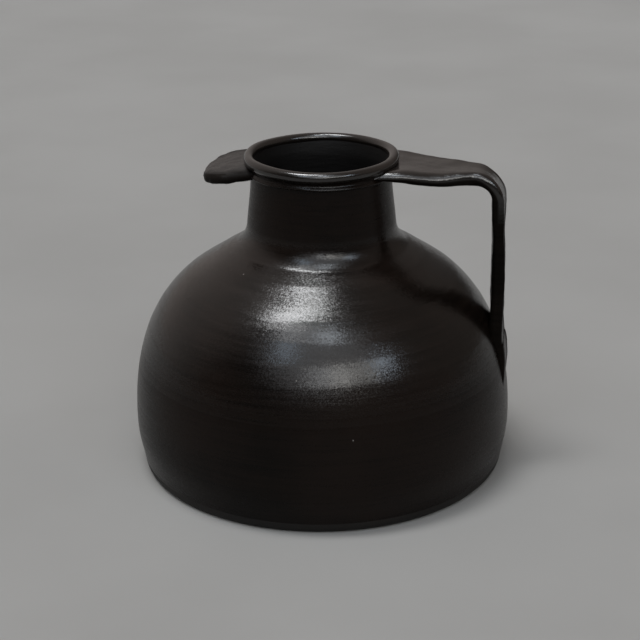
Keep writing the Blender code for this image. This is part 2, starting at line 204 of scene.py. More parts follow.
# Grip lug
LUG_WIDTH = 0.073
LUG_DROP = 0.0029
LUG_FALL = 0.0064
LUG_THICKNESS = 0.0135
LUG_DISH = 0.0018
LUG_TILT = 0.0018  # its back edge is up and its front edge down
LUG_LIP = 0.0008  # raised edge along its back
LUG_LIP_PLACE = 0.85
LUG_PLAN = 2.3  # exponents of its outline, its section and its thinning towards the tip
LUG_SQUARENESS = 2.7
LUG_THINNING = 0.3
LUG_WAIST = 0.25  # how much narrower its front half is at the neck
LUG_BEND_SHARE = 0.6  # share of its reach that bends round with the neck
LUG_TIP_START = 0.8  # share of its reach from which the tip is rounded
LUG_TIP_ROUND = 0.9
LUG_LAST_TURN = math.radians(88.5)

# Painted shade: the clay is dulled in steps down the belly, up the neck, and to the under sides and the
# grip, with a lower specular level and more roughness, so that its reflections there come out darker
GRADES = 8
SHADE_GRADE_TOP = 0.132
SHADE_GRADE_END = 0.086
NECK_FADE = 0.014
STRAP_UNDER = (0.30, -0.10)  # height in the section where the painted shade of the under side starts and where it is full
LUG_UNDER = (0.97, 0.60)
GRIP_FADE = 0.03
GRIP_FADE_LEAD = 0.012  # how far before the corner's end the painted shade on the strap starts
SHADE_ROUGHER = 0.08  # how much rougher a clay is where it is dulled as painted shade


class Clay(NamedTuple):
    """Looks of one clay; its depths are metres."""

    dark: tuple  # its colour varies between these two
    warm: tuple
    roughness: float
    streak_depth: float
    grit_depth: float
    burnished: float  # specular level where it is burnished
    shade_specular: float = 0.0  # specular level in its dullest grade, which is painted shade, for a clay that has grades
    facet_tilt: float = 0.0  # how far its grains lean


# The wall, strap and lug clays have grades from burnished to a duller copy that is painted shade; the
# lower specular level given after the burnished one belongs to that copy.
WALL_CLAY = Clay(
    dark=(0.0022, 0.0015, 0.0011),
    warm=(0.0075, 0.0046, 0.0034),
    roughness=0.22,
    streak_depth=5e-5,
    grit_depth=5e-5,
    burnished=0.45,
    shade_specular=0.13,
    facet_tilt=0.075,
)
INNER_CLAY = Clay(
    dark=(0.0022, 0.0019, 0.0018),
    warm=(0.004, 0.0034, 0.0031),
    roughness=0.6,
    streak_depth=2e-4,
    grit_depth=8e-5,
    burnished=0.25,
)
RIM_CLAY = Clay(
    dark=(0.004, 0.0033, 0.0028),
    warm=(0.011, 0.0084, 0.0068),
    roughness=0.18,
    streak_depth=4e-5,
    grit_depth=4e-5,
    burnished=0.72,
    facet_tilt=0.03,
)
STRAP_CLAY = Clay(
    dark=(0.0026, 0.0020, 0.0015),
    warm=(0.007, 0.0052, 0.0041),
    roughness=0.21,
    streak_depth=3e-5,
    grit_depth=4e-5,
    burnished=0.75,
    shade_specular=0.04,
    facet_tilt=0.05,
)
LUG_CLAY = Clay(
    dark=(0.003, 0.0024, 0.0020),
    warm=(0.008, 0.0062, 0.0052),
    roughness=0.42,
    streak_depth=4e-5,
    grit_depth=1.5e-4,
    burnished=0.85,
    shade_specular=0.06,
    facet_tilt=0.14,
)
BASE_CLAY = Clay(
    dark=(0.004, 0.0033, 0.0028),
    warm=(0.010, 0.008, 0.0065),
    roughness=0.6,
    streak_depth=5e-5,
    grit_depth=8e-5,
    burnished=0.3,
)

# Detail that all clays share
SMOKE_SCALE = 9.0
SMOKE_DETAIL = 3.0
STREAKS = (2.0, 350.0)  # how fast the streaks change round the jug and up it
STREAK_DETAIL = 4.0
FINE_STREAKS = (7.0, 1100.0)
FINE_STREAK_DETAIL = 2.0
FINE_STREAK_SHARE = 0.5
GRIT_SCALE = 620.0
GRIT_DETAIL = 1.0
STREAK_TINT = 0.35
TINT_LIMITS = (0.45, 0.85)
STREAK_GLOSS = 0.16  # how far the streaks and the grit change the roughness
GRIT_GLOSS = 0.10
GLOSS_MIDDLE = 0.13  # what they add to it in the middle of their range
PIT_SCALE = 110.0  # spots in a metre
PIT_CHANCE = 0.965  # share of the spots that have no pit
PIT_EDGES = (0.03, 0.09)
PIT_COLOUR = (0.16, 0.15, 0.14)
FACET_SCALE = 1150.0  # grains in a metre
FACET_MIDDLE = (0.5, 0.5, 0.5)

# Viewpoint of the photograph: the camera stands in front, turned from -Y round the jug
VIEW_TURN = math.radians(8.0)
VIEW_DISTANCE = 1.2856
VIEW_OFFSET = -0.0014
VIEW_HEIGHT = 0.6422
VIEW_PITCH = math.radians(22.01)
VIEW_ROLL = math.radians(0.619)
FRONT_TURN = VIEW_TURN - math.pi / 2
LENS = 90.0
SENSOR = 36.0

# Floor
FLOOR_HALF = 30.0
FLOOR_DROP = 0.0002
FLOOR_COLOURS = ((0.26, 0.255, 0.246), (0.28, 0.275, 0.266))
FLOOR_ROUGHNESS = 0.9
FLOOR_SPECULAR = 0.1
MOTTLE_SCALE = 3.0
MOTTLE_DETAIL = 5.0
MOTTLE_LIMITS = (0.3, 0.7)
VIEW_END = 4 * FLOOR_HALF  # how far the camera sees

# Light, with angles in degrees
DIM = (0.025, 0.024, 0.023)
GLOWS = (  # pale parts: azimuth, elevation, cosines of the outer and the inner edge, colour
    (12.0, 42.0, 0.45, 0.98, (0.19, 0.162, 0.145)),
    (128.0, 32.0, 0.3, 0.95, (0.40, 0.36, 0.34)),
    (-95.0, 50.0, 0.8, 0.96, (1.08, 1.11, 1.15)),
)
LAMPS = (  # name, azimuth, elevation, strength, width, colour
    ("skylight_right", 162.0, 86.0, 0.55, 13.0, (0.97, 0.985, 1.0)),
    ("skylight_middle", 180.0, 78.5, 0.55, 13.0, (0.97, 0.985, 1.0)),
    ("skylight_left", -171.0, 71.0, 0.66, 13.0, (0.97, 0.985, 1.0)),
    ("high_window", -130.0, 67.0, 0.20, 16.0, (0.94, 0.97, 1.0)),
    ("upper_window", -82.0, 66.0, 0.27, 12.0, (0.84, 0.92, 1.0)),
    ("left_window", -122.0, 50.0, 0.12, 12.0, (0.62, 0.80, 1.0)),
    ("right_window", -46.0, 35.0, 0.23, 12.0, (0.74, 0.86, 1.0)),
    ("front_window_left", -92.0, 31.0, 0.14, 14.0, (0.95, 0.98, 1.0)),
    ("front_window_middle", -77.0, 31.0, 0.25, 14.0, (1.0, 0.99, 0.95)),
    ("front_window_right", -60.0, 32.0, 0.15, 14.0, (1.0, 0.99, 0.95)),
)

UP = np.array((0.0, 1.0))


def unit(vector):
    return vector / np.linalg.norm(vector)


def leaning(angle):
    """Direction that points up and leans outward by the angle."""
    return np.array((math.sin(angle), math.cos(angle)))


def smooth(share):
    """Soft step from 0 to 1."""
    share = np.clip(share, 0.0, 1.0)
    return share * share * (3 - 2 * share)


def waves(turn, table):
    """Sum of a table's waves at a turn."""
    return sum(share * math.sin(count * turn + phase) for count, share, phase in table)


def lip(across, place):
    """Height of a raised edge, from 0 to 1, at a share of the half width."""
    return math.exp(-(((across - place) / LIP_WIDTH) ** 2))


def hollow(radius, side):
    """How far a round wall falls back at a distance to the side."""
    return radius - math.sqrt(max(radius**2 - side**2, 0.0))


def run_lengths(points):
    """Length of a line from its start to each of its points."""
    return np.concatenate(((0.0,), np.cumsum(np.linalg.norm(np.diff(points, axis=0), axis=1))))


def steps_between(top, bottom, step):
    return np.linspace(top, bottom, max(2, math.ceil(abs(bottom - top) / step) + 1))


def curve(start, leave, arrive, end):
    """Points of a cubic curve after its start; leave and arrive are its tangent arms."""
    t = np.linspace(0.0, 1.0, LINE_STEPS + 1)[1:, None]
    first = start + leave
    second = end - arrive
    return list(
        (1 - t) ** 3 * start + 3 * (1 - t) ** 2 * t * first + 3 * (1 - t) * t**2 * second + t**3 * end
    )


def rim_point(angle, radius):
    return np.array((RIM_RADIUS + radius * math.cos(angle), RIM_HEIGHT + radius * math.sin(angle)))


def outside_line():
    """Outside of the wall, from the rim coil's seat down to the resting face."""
    seat = rim_point(SEAT_OUTSIDE, RIM_TUBE)
    waist = np.array((NECK_RADIUS, WAIST_HEIGHT))
    root = np.array((NECK_RADIUS + NECK_TAPER, NECK_ROOT_HEIGHT))
    shoulder = np.array((SHOULDER_RADIUS, SHOULDER_HEIGHT))
    belly = np.array((BELLY_RADIUS, BELLY_HEIGHT))
    foot = np.array((FOOT_RADIUS, FOOT_EDGE))
    rest = np.array((FOOT_RADIUS - FOOT_ROUND, 0.0))

    down_neck = unit(root - waist)
    down_shoulder = unit(shoulder - root)
    neck_end = root - down_neck * NECK_FILLET
    shoulder_start = root + down_shoulder * NECK_FILLET
    flare_arm = FLARE_FULLNESS * (seat[1] - WAIST_HEIGHT)
    neck_arm = NECK_FULLNESS * (WAIST_HEIGHT - neck_end[1])
    fillet_arm = FILLET_FULLNESS * NECK_FILLET
    foot_arm = FOOT_FULLNESS * (BELLY_HEIGHT - FOOT_EDGE)
    edge_arm = EDGE_FULLNESS * FOOT_ROUND
    line_arm = STRAIGHT_FULLNESS * (shoulder - shoulder_start)
    shoulder_arm = down_shoulder * SHOULDER_FULLNESS * SHOULDER_RISE

    line = [seat]
    line += curve(seat, -leaning(SEAT_FLARE) * flare_arm, -UP * flare_arm, waist)
    line += curve(waist, -UP * neck_arm, down_neck * neck_arm, neck_end)
    line += curve(neck_end, down_neck * fillet_arm, down_shoulder * fillet_arm, shoulder_start)
    line += curve(shoulder_start, line_arm, line_arm, shoulder)
    line += curve(shoulder, shoulder_arm, -UP * DOME_FULLNESS * SHOULDER_RISE, belly)
    line += curve(belly, -UP * foot_arm, -leaning(FOOT_FLARE) * foot_arm, foot)
    line += curve(foot, -leaning(FOOT_FLARE) * edge_arm, np.array((-edge_arm, 0.0)), rest)
    return np.array(line)


def outward(line):
    """Unit normals of a line that runs down the outside."""
    tangent = np.gradient(line, axis=0)
    tangent /= np.linalg.norm(tangent, axis=1, keepdims=True)
    return np.stack((-tangent[:, 1], tangent[:, 0]), axis=1)


def wall_thickness(height):
    share = np.clip((height - SHOULDER_HEIGHT) / NECK_ROOT_RISE, 0.0, 1.0)
    return BODY_WALL + (NECK_WALL - BODY_WALL) * share


OUTSIDE = outside_line()
FACING = outward(OUTSIDE)
INSIDE = OUTSIDE - FACING * wall_thickness(OUTSIDE[:, 1])[:, None]
RUNS = run_lengths(OUTSIDE)


def along(line, runs):
    """Points of a wall line, or its normals, at runs."""
    return np.stack((np.interp(runs, RUNS, line[:, 0]), np.interp(runs, RUNS, line[:, 1])), axis=-1)


def run_at_height(line, height):
    return float(np.interp(-height, -line[:, 1], RUNS))


RIDGE_RUNS = [run_at_height(OUTSIDE, ridge[0]) for ridge in RIDGES]
ROOT_SINK_RUN = run_at_height(OUTSIDE, ROOT_SINK_HEIGHT)
SHADE_GRADE_RUNS = [run_at_height(OUTSIDE, height) for height in (SHADE_GRADE_TOP, SHADE_GRADE_END)]


def relief(runs, turn):
    """How far the worked wall stands proud of the unworked one."""
    frontal = (1 + math.cos(turn - FRONT_TURN)) / 2
    proudness = -ROOT_SINK * frontal * np.exp(-np.abs(runs - ROOT_SINK_RUN) / ROOT_SINK_REACH)
    for order, (run, (_, proud, reach, lean)) in enumerate(zip(RIDGE_RUNS, RIDGES)):
        count = RIDGE_WAVES[order % len(RIDGE_WAVES)]
        wander = lean / 2 * math.sin(2 * (turn - FRONT_TURN))
        wander += RIDGE_WANDER * math.sin(turn * count + RIDGE_SHIFT * order)
        strength = 1 - RIDGE_FADE + RIDGE_FADE * math.sin(2 * turn + RIDGE_FADE_SHIFT * order)
        proudness += proud * strength * np.exp(-np.abs(runs - run - wander) / reach)
    return proudness


def hand_shaped(points):
    """The same small departures from a true circle for everything that is turned or joined on."""
    points = np.array(points)
    turn = np.arctan2(points[..., 1], points[..., 0])
    height = points[..., 2]
    swell = np.zeros_like(turn)
    for count, share, phase, twist in OUT_OF_ROUND_WAVES:
        swell += share * np.sin(count * turn + phase + twist * height)
    points[..., :2] *= (1 + swell * OUT_OF_ROUND / BELLY_RADIUS)[..., None]
    points[..., 0] += NECK_DRIFT * smooth((height - DOME_SEAM) / (NECK_SEAM - DOME_SEAM))
    return points


def spun(section_at):
    """Grid of points from a function that gives the section at a turn."""
    grid = []
    for turn in np.arange(TURNS) * 2 * math.pi / TURNS:
        section = section_at(turn)
        across = section[:, :1] * np.array((math.cos(turn), math.sin(turn)))
        grid.append(np.concatenate((across, section[:, 1:]), axis=1))
    return hand_shaped(grid)


def grade(dullness):
    """Number of the grade for a dullness from 0, burnished, to 1, fully dulled as painted shade."""
    return round((GRADES - 1) * float(dullness))


def new_object(name, data):
    made = bpy.data.objects.new(name, data)
    bpy.context.scene.collection.objects.link(made)
    return made


def mesh_piece(name, verts, faces, materials, sharp, face_materials=None):
    """Object from points and faces, smooth up to its real edges, with its faces pointing out."""
    mesh = bpy.data.meshes.new(name)
    mesh.from_pydata([tuple(point) for point in verts], [], faces)
    for material in materials:
        mesh.materials.append(material)
    if face_materials is not None:
        mesh.polygons.foreach_set("material_index", face_materials)
    shape = bmesh.new()
    shape.from_mesh(mesh)
    bmesh.ops.recalc_face_normals(shape, faces=shape.faces)
    shape.to_mesh(mesh)
    shape.free()
    mesh.shade_smooth()
    mesh.set_sharp_from_angle(angle=sharp)
    return new_object(name, mesh)


def quad(row, next_row, column, columns):
    """Corners of a grid's face, from a column to the next one round."""
    following = (column + 1) % columns
    return (
        row * columns + column,
        row * columns + following,
        next_row * columns + following,
        next_row * columns + column,
    )


def ring_piece(name, grid, materials, column_materials=None):
    """Closed ring from a grid of sections: rows go round the axis, columns round the section."""
    rows, columns = grid.shape[:2]
    faces = []
    slots = []
    for i in range(rows):
        for j in range(columns):
            faces.append(quad(i, (i + 1) % rows, j, columns))
            slots.append(0 if column_materials is None else column_materials[j])
    return mesh_piece(name, grid.reshape(-1, 3), faces, materials, RING_SHARP, slots)


def band_piece(name, grid, materials, dullness):
    """Closed band from a grid of sections and of their dullness, with strips across each end."""
    rows, columns = grid.shape[:2]
    faces = []
    slots = []
    for i in range(rows - 1):
        for j in range(columns):
            faces.append(quad(i, i + 1, j, columns))
            slots.append(grade(dullness[i][j]))
    for first in (0, (rows - 1) * columns):
        for j in range(columns // 2):
            strip = (j, j + 1, columns - j - 1, (columns - j) % columns)
            faces.append(tuple(first + corner for corner in dict.fromkeys(strip)))
            slots.append(GRADES - 1)
    return mesh_piece(name, grid.reshape(-1, 3), faces, materials, BAND_SHARP, slots)


def dent(piece, depth, size):
    """Shallow dents all over a piece that fingers pressed into shape."""
    for vertex in piece.data.vertices:
        vertex.co += vertex.normal * depth * noise.fractal(vertex.co / size, *DENT_NOISE)


def seam(height):
    """Runs of a joint at the outside and, lower by the scarf, at the inside."""
    run = run_at_height(OUTSIDE, height)
    return run, run + SCARF


def course_piece(name, outside_runs, inside, dullness, clays, inner_clay):
    """Ring of wall between its worked outside and its inside points; dullness is its outer faces'."""
    outside = along(OUTSIDE, outside_runs)
    facing = along(FACING, outside_runs)

    def section_at(turn):
        worked = outside + facing * relief(outside_runs, turn)[:, None]
        return np.concatenate((worked, inside))

    columns = [grade(share) for share in dullness] + [GRADES] * (len(inside) + 1)
    return ring_piece(name, spun(section_at), [*clays, inner_clay], columns)


def wall_piece(name, top, bottom, clays, inner_clay):
    """Wall course between the outside and inside runs of its two ends."""
    outside_runs = steps_between(top[0], bottom[0], OUTSIDE_STEP)
    inside = along(INSIDE, steps_between(bottom[1], top[1], INSIDE_STEP))
    # Painted shade: the outside is dulled in steps down the belly.
    dullness = smooth((outside_runs[1:] - SHADE_GRADE_RUNS[0]) / (SHADE_GRADE_RUNS[1] - SHADE_GRADE_RUNS[0]))
    return course_piece(name, outside_runs, inside, dullness, clays, inner_clay)


def neck_piece(name, bottom, clays, inner_clay):
    """Neck with the hollow seat of the rim coil as its top."""
    outside_runs = steps_between(0.0, bottom[0], OUTSIDE_STEP)
    inside_runs = steps_between(bottom[1], run_at_height(OUTSIDE, WAIST_HEIGHT), INSIDE_STEP)
    angles = np.linspace(SEAT_INSIDE, SEAT_OUTSIDE, RIM_SIDES // 4)[:-1]
    seat = [rim_point(angle, RIM_TUBE - JOIN_SINK) for angle in angles]
    inside = np.concatenate((along(INSIDE, inside_runs), seat))
    # Painted shade: the neck is dulled in steps up from its root.
    dullness = smooth((bottom[0] - outside_runs[1:]) / NECK_FADE)
    return course_piece(name, outside_runs, inside, dullness, clays, inner_clay)


def rim_piece(name, clay):
    """Rolled rim: a coil that is a little uneven in height and thickness."""
    angles = np.arange(RIM_SIDES) * 2 * math.pi / RIM_SIDES

    def section_at(turn):
        lift = RIM_WAVE * waves(turn, RIM_LIFTS)
        tube = RIM_TUBE * (1 + waves(turn, RIM_SWELLS))
        points = np.stack((np.cos(angles), np.sin(angles)), axis=1) * tube
        return points + np.array((RIM_RADIUS, RIM_HEIGHT + lift))

    return ring_piece(name, spun(section_at), [clay])


def cordon_piece(name, clay):
    """Thin band of clay pressed on the neck, uneven in height and proudness."""
    shares = np.linspace(0.0, 1.0, CORDON_SIDES)
    swelling = np.sin(math.pi * shares**CORDON_SAG)

    def section_at(turn):
        lift = CORDON_WAVE * waves(turn, CORDON_LIFTS)
        proud = CORDON_PROUD * (1 + waves(turn, CORDON_SWELLS))
        heights = CORDON_TOP + lift + (CORDON_LOW - CORDON_TOP) * shares
        runs = np.interp(-heights, -OUTSIDE[:, 1], RUNS)
        wall = along(OUTSIDE, runs)[:, 0]
        front = np.stack((wall - JOIN_SINK + (proud + JOIN_SINK) * swelling, heights), axis=1)
        back = np.stack((wall - NECK_WALL / 2, heights), axis=1)
        return np.concatenate((front, back[::-1]))

    return ring_piece(name, spun(section_at), [clay])


def floor_piece(name, clay):
    """Flat round slab with a rounded lower edge; a disc closes each of its two flat faces."""
    side_runs = steps_between(run_at_height(OUTSIDE, FLOOR_TOP), RUNS[-1], OUTSIDE_STEP)
    side = along(OUTSIDE, side_runs)
    inner = np.array(((FOOT_RADIUS / 2, 0.0), (FOOT_RADIUS / 2, FLOOR_TOP)))
    grid = spun(lambda turn: np.concatenate((side, inner)))
    rows, columns = grid.shape[:2]
    low_ring, high_ring = columns - 2, columns - 1
    faces = []
    for i in range(rows):
        for j in range(columns):
            if j != low_ring:
                faces.append(quad(i, (i + 1) % rows, j, columns))
    for ring in (low_ring, high_ring):
        faces.append(tuple(i * columns + ring for i in range(rows)))
    return mesh_piece(name, grid.reshape(-1, 3), faces, [clay], RING_SHARP)


def fillet_coil_piece(name, clay):
    """Coil in the inner corner of the floor, with a hollow face towards the cavity."""
    top = run_at_height(INSIDE, COIL_TOP)
    bottom = run_at_height(INSIDE, FLOOR_TOP)
    wall = along(INSIDE, steps_between(top, bottom, INSIDE_STEP))
    leg = COIL_TOP - FLOOR_TOP
    angle = np.linspace(math.pi / 2, 0.0, RIM_SIDES // 2)[:, None]
    centre = wall[-1] + np.array((-leg, leg))
    face = centre + leg * np.concatenate((np.cos(angle), -np.sin(angle)), axis=1)
    return ring_piece(name, spun(lambda turn: np.concatenate((wall, face[:-1]))), [clay])


def oval(half_width, half_depth, flatness, roundness):
    """Evenly spaced points of a squarish oval, as shares of its half width and half depth."""
    angle = np.linspace(0.0, 2 * math.pi, 4 * LINE_STEPS + 1)
    across = np.sign(np.cos(angle)) * np.abs(np.cos(angle)) ** (2 / flatness)
    through = np.sign(np.sin(angle)) * np.abs(np.sin(angle)) ** (2 / roundness)
    lengths = np.hypot(np.diff(across) * half_width, np.diff(through) * half_depth)
    runs = np.concatenate(((0.0,), np.cumsum(lengths)))
    wanted = np.linspace(0.0, runs[-1], BAND_SIDES + 1)[:-1]
    return np.interp(wanted, runs, across), np.interp(wanted, runs, through)


def under_side(through, top, end):
    """How far points of a section lie on its under side, which is dulled as painted shade."""
    return smooth((top - through) / (top - end))


def arm_share(radius):
    """Place along the strap's arm, from 0 inside the neck to 1 at the corner."""
    first = math.sqrt(NECK_RADIUS**2 - (STRAP_ROOT_WIDTH / 2) ** 2) - ROOT_LAP
    last = BELLY_RADIUS - GRIP_INSET - CORNER_RADIUS
    return min(max((radius - first) / (last - first), 0.0), 1.0)


def arm_width(radius, bend):
    """Width of the strap's arm where its middle is at a radius, by the place of its bent edges."""
    width = STRAP_ROOT_WIDTH
    for _ in range(ARM_WIDTH_ROUNDS):
        edge = radius - bend * hollow(radius, width / 2)
        width = STRAP_ROOT_WIDTH + (GRIP_WIDTH - STRAP_ROOT_WIDTH) * arm_share(edge) ** ARM_TAPER
    return width


def resampled(points, step):
    """Evenly spaced points along a line, and how far along it they are."""
    points = np.array(points)
    runs = run_lengths(points)
    wanted = steps_between(0.0, runs[-1], step)
    radii = np.interp(wanted, runs, points[:, 0])
    heights = np.interp(wanted, runs, points[:, 1])
    return np.stack((radii, heights), axis=1), wanted


def strap_line():
    """Middle line of the strap down to the wall, its lengths, and the wall's run at its landing.

    The lengths are those at the line's points, at the end of the arm and at the end of the corner.
    """
    arm_height = RIM_HEIGHT - STRAP_DROP - STRAP_THICKNESS / 2
    grip_radius = BELLY_RADIUS - GRIP_INSET
    start_radius = NECK_RADIUS - STRAP_BED
    start = np.array((start_radius, arm_height - STRAP_FALL * arm_share(start_radius)))
    corner_start = np.array((grip_radius - CORNER_RADIUS, arm_height - STRAP_FALL))
    middle = corner_start - UP * CORNER_RADIUS
    angle = np.linspace(math.pi / 2, 0.0, LINE_STEPS)[:, None]
    corner = middle + CORNER_RADIUS * np.concatenate((np.cos(angle), np.sin(angle)), axis=1)
    dome = np.searchsorted(-OUTSIDE[:, 1], -BELLY_HEIGHT)
    landing_run = float(np.interp(grip_radius + GRIP_LEAN, OUTSIDE[:dome, 0], RUNS[:dome]))
    landing = along(OUTSIDE, landing_run)
    line, lengths = resampled([start, *corner, landing], BAND_STEP)
    arm_end = corner_start[0] - start[0]
    corner_end = arm_end + CORNER_RADIUS * math.pi / 2
    return line, lengths, arm_end, corner_end, landing_run


def band_section(point, normal, outline, width, outer, inner, bend, front=0.0, back=0.0, twist=0.0):
    """Section of the strap round a point of its middle line.

    outer and inner are its half thicknesses on the outer and the inner face, bend is how far it
    follows the round wall that it lies on, front and back are how far those edges are moved
    towards the outer face, and twist is how far the section is turned round a line up the jug.
    """
    section = []
    for across, through in zip(*outline):
        depth = outer if through > 0 else inner
        dish = STRAP_DISH * (1 - across**2) - STRAP_LIP * lip(across, STRAP_LIP_PLACE)
        lift = front * max(-across, 0.0) ** 2 + back * max(across, 0.0) ** 2
        radius, height = point + normal * (through * depth - dish * max(through, 0.0) + lift)
        side = across * width / 2
        section.append((radius - bend * hollow(radius, side) - side * math.tan(twist), side, height))
    return section


def free_section(point, normal, length, arm_end, turned, share):
    """Section of the strap's arm, corner or grip, and how high its points lie in the strap.

    length is the place along the strap, turned how much of the corner lies behind it, and share
    the place along the grip.
    """
    half = STRAP_THICKNESS / 2
    landed = smooth((share - LANDING_START) / (1 - LANDING_START))
    pressed = turned * (1 - landed)
    cornered = 4 * turned * (1 - turned)

    root_bend = 1 - smooth(length / (arm_end * ROOT_BEND_SHARE))
    widening = GRIP_SPREAD * smooth((share - GRIP_SPREAD_START) / (1 - GRIP_SPREAD_START))
    width = arm_width(point[0], root_bend) + (TONGUE_WIDTH - GRIP_WIDTH) * widening
    roundness = ARM_ROUNDNESS + (GRIP_ROUNDNESS - ARM_ROUNDNESS) * turned
    outline = oval(width / 2, half, STRAP_FLATNESS, roundness)

    wave = GRIP_WAVE * math.cos(2 * math.pi * GRIP_WAVES * (share - GRIP_WAVE_PLACE))
    outer = half + wave * smooth(share / GRIP_WAVE_START) - GRIP_PRESSED[0] * pressed
    inner = half - ROOT_THINNING * (1 - smooth(length / ROOT_THINNING_LENGTH))
    inner -= CORNER_THINNED * cornered + GRIP_PRESSED[1] * pressed

    edge_wave = math.cos(2 * math.pi * (length - EDGE_WAVE_LOW) / EDGE_WAVE_LENGTH)
    front = -EDGE_WAVE * edge_wave * (1 - turned)
    back = ROOT_LIFT * (1 - smooth(length / ROOT_LIFT_LENGTH)) - CORNER_SLOPE * cornered
    twist = GRIP_TWIST * smooth(share / GRIP_TWIST_START) * (1 - landed)
    bend = root_bend + landed
    section = band_section(point, normal, outline, width, outer, inner, bend, front, back, twist)
    return section, outline[1]


def tongue_section(share, landing_run):
    """Section of the tongue, which lies on the wall and dies into it."""
    half = STRAP_THICKNESS / 2
    run = landing_run + TONGUE_LENGTH * share
    dying = smooth(share)
    widening = GRIP_SPREAD + (1 - GRIP_SPREAD) * dying
    width = GRIP_WIDTH + (TONGUE_WIDTH - GRIP_WIDTH) * widening
    outer = half * (1 - dying) - TONGUE_SINK * share
    inner = half + (TONGUE_BED - half) * dying
    outline = oval(width / 2, half, STRAP_FLATNESS, GRIP_ROUNDNESS)
    return band_section(along(OUTSIDE, run), along(FACING, run), outline, width, outer, inner, bend=1.0)


def strap_piece(name, clays):
    """Strap handle: arm, corner, grip and a tongue that dies into the belly."""
    line, lengths, arm_end, corner_end, landing_run = strap_line()
    grid = []
    dullness = []
    for point, normal, length in zip(line, outward(line), lengths):
        turned = smooth((length - arm_end) / (corner_end - arm_end))
        share = max(length - corner_end, 0.0) / (lengths[-1] - corner_end)
        section, through = free_section(point, normal, length, arm_end, turned, share)
        # Painted shade: the strap is dulled on its under side and, from just before the corner's end,
        # all over the grip; the tongue is dulled all through.
        fading = smooth((length - corner_end + GRIP_FADE_LEAD) / GRIP_FADE)
        grid.append(section)
        dullness.append(np.maximum(under_side(through, *STRAP_UNDER), fading))
    for share in np.linspace(0.0, 1.0, round(TONGUE_LENGTH / BAND_STEP))[1:]:
        grid.append(tongue_section(share, landing_run))
        dullness.append(np.ones(BAND_SIDES))
    piece = band_piece(name, hand_shaped(grid), clays, dullness)
    dent(piece, *STRAP_DENTS)
    return piece


def lug_section(reach):
    """Section of the lug at a share of its reach, and how high its points lie in the lug."""
    start = NECK_RADIUS - STRAP_BED
    radius = start + (LUG_TIP - start) * reach
    plan = (1 - reach**LUG_PLAN) ** (1 / LUG_PLAN)
    tip = max(reach - LUG_TIP_START, 0.0) / (1 - LUG_TIP_START)
    thickness = LUG_THICKNESS * plan**LUG_THINNING * math.sqrt(1 - LUG_TIP_ROUND * tip**2)
    half_width = plan * LUG_WIDTH / 2
    fall = LUG_FALL * max(radius - NECK_RADIUS, 0.0) / (LUG_TIP - NECK_RADIUS)
    middle = RIM_HEIGHT - LUG_DROP - LUG_THICKNESS / 2 - fall
    bend = 1 - smooth(reach / LUG_BEND_SHARE)
    outline = oval(half_width, thickness / 2, LUG_SQUARENESS, LUG_SQUARENESS)
    section = []
    for across, through in zip(*outline):
        narrowing = LUG_WAIST * bend if across < 0 else 0.0
        side = across * half_width * (1 - narrowing)
        edge = 2 * side / LUG_WIDTH
        lift = LUG_DISH * edge**2 + LUG_TILT * edge
        lift += LUG_LIP * max(through, 0.0) * lip(across, LUG_LIP_PLACE)
        height = middle + through * thickness / 2 + lift
        section.append((bend * hollow(radius, side) - radius, side, height))
    return section, outline[1]


def lug_piece(name, clays):
    """Pinched tongue on the neck, dished, with its back edge drawn up."""
    grid = []
    dullness = []
    for turn in np.linspace(0.0, LUG_LAST_TURN, LUG_STATIONS):
        section, through = lug_section(math.sin(turn))
        grid.append(section)
        # Painted shade: the lug is dulled on its under side.
        dullness.append(under_side(through, *LUG_UNDER))
    piece = band_piece(name, hand_shaped(grid), clays, dullness)
    dent(piece, *LUG_DENTS)
    return piece


def add_node(tree, kind, inputs=None, **settings):
    """Node with its settings, and its inputs either linked to sockets or set to values."""
    node = tree.nodes.new(kind)
    for key, value in settings.items():
        setattr(node, key, value)
    for key, value in (inputs or {}).items():
        if isinstance(value, bpy.types.NodeSocket):
            tree.links.new(value, node.inputs[key])
        else:
            node.inputs[key].default_value = value
    return node


def vector_math(tree, operation, *values):
    inputs = dict(enumerate(values))
    return add_node(tree, "ShaderNodeVectorMath", inputs, operation=operation).outputs[0]


def value_math(tree, operation, first, second):
    return add_node(tree, "ShaderNodeMath", {0: first, 1: second}, operation=operation).outputs[0]


def round_the_axis(tree, place, turns, rise):
    """Coordinates that change slowly round the jug and fast up it, for marks left by turning."""
    flat = vector_math(tree, "MULTIPLY", place, (1.0, 1.0, 0.0))
    ring = vector_math(tree, "NORMALIZE", flat)
    ring = vector_math(tree, "MULTIPLY", ring, (turns, turns, 0.0))
    up = vector_math(tree, "MULTIPLY", place, (0.0, 0.0, rise))
    return vector_math(tree, "ADD", ring, up)


def noise_at(tree, vector, scale, detail):
    inputs = {"Vector": vector, "Scale": scale, "Detail": detail}
    return add_node(tree, "ShaderNodeTexNoise", inputs).outputs[0]


def cells_at(tree, vector, scale):
    return add_node(tree, "ShaderNodeTexVoronoi", {"Vector": vector, "Scale": scale}).outputs


def ranged(tree, value, limits, ends=(0.0, 1.0)):
    """Soft step from one end to the other as a value goes from limit to limit."""
    inputs = dict(enumerate((value, *limits, *ends)))
    return add_node(tree, "ShaderNodeMapRange", inputs, interpolation_type="SMOOTHSTEP").outputs[0]


def blended(tree, share, first, second):
    inputs = {0: share, 6: first, 7: second}
    return add_node(tree, "ShaderNodeMix", inputs, data_type="RGBA").outputs[2]


def bumped(tree, height, depth, normal=None):
    inputs = {"Height": height, "Strength": 1.0, "Distance": depth}
    if normal is not None:
        inputs["Normal"] = normal
    return add_node(tree, "ShaderNodeBump", inputs).outputs[0]


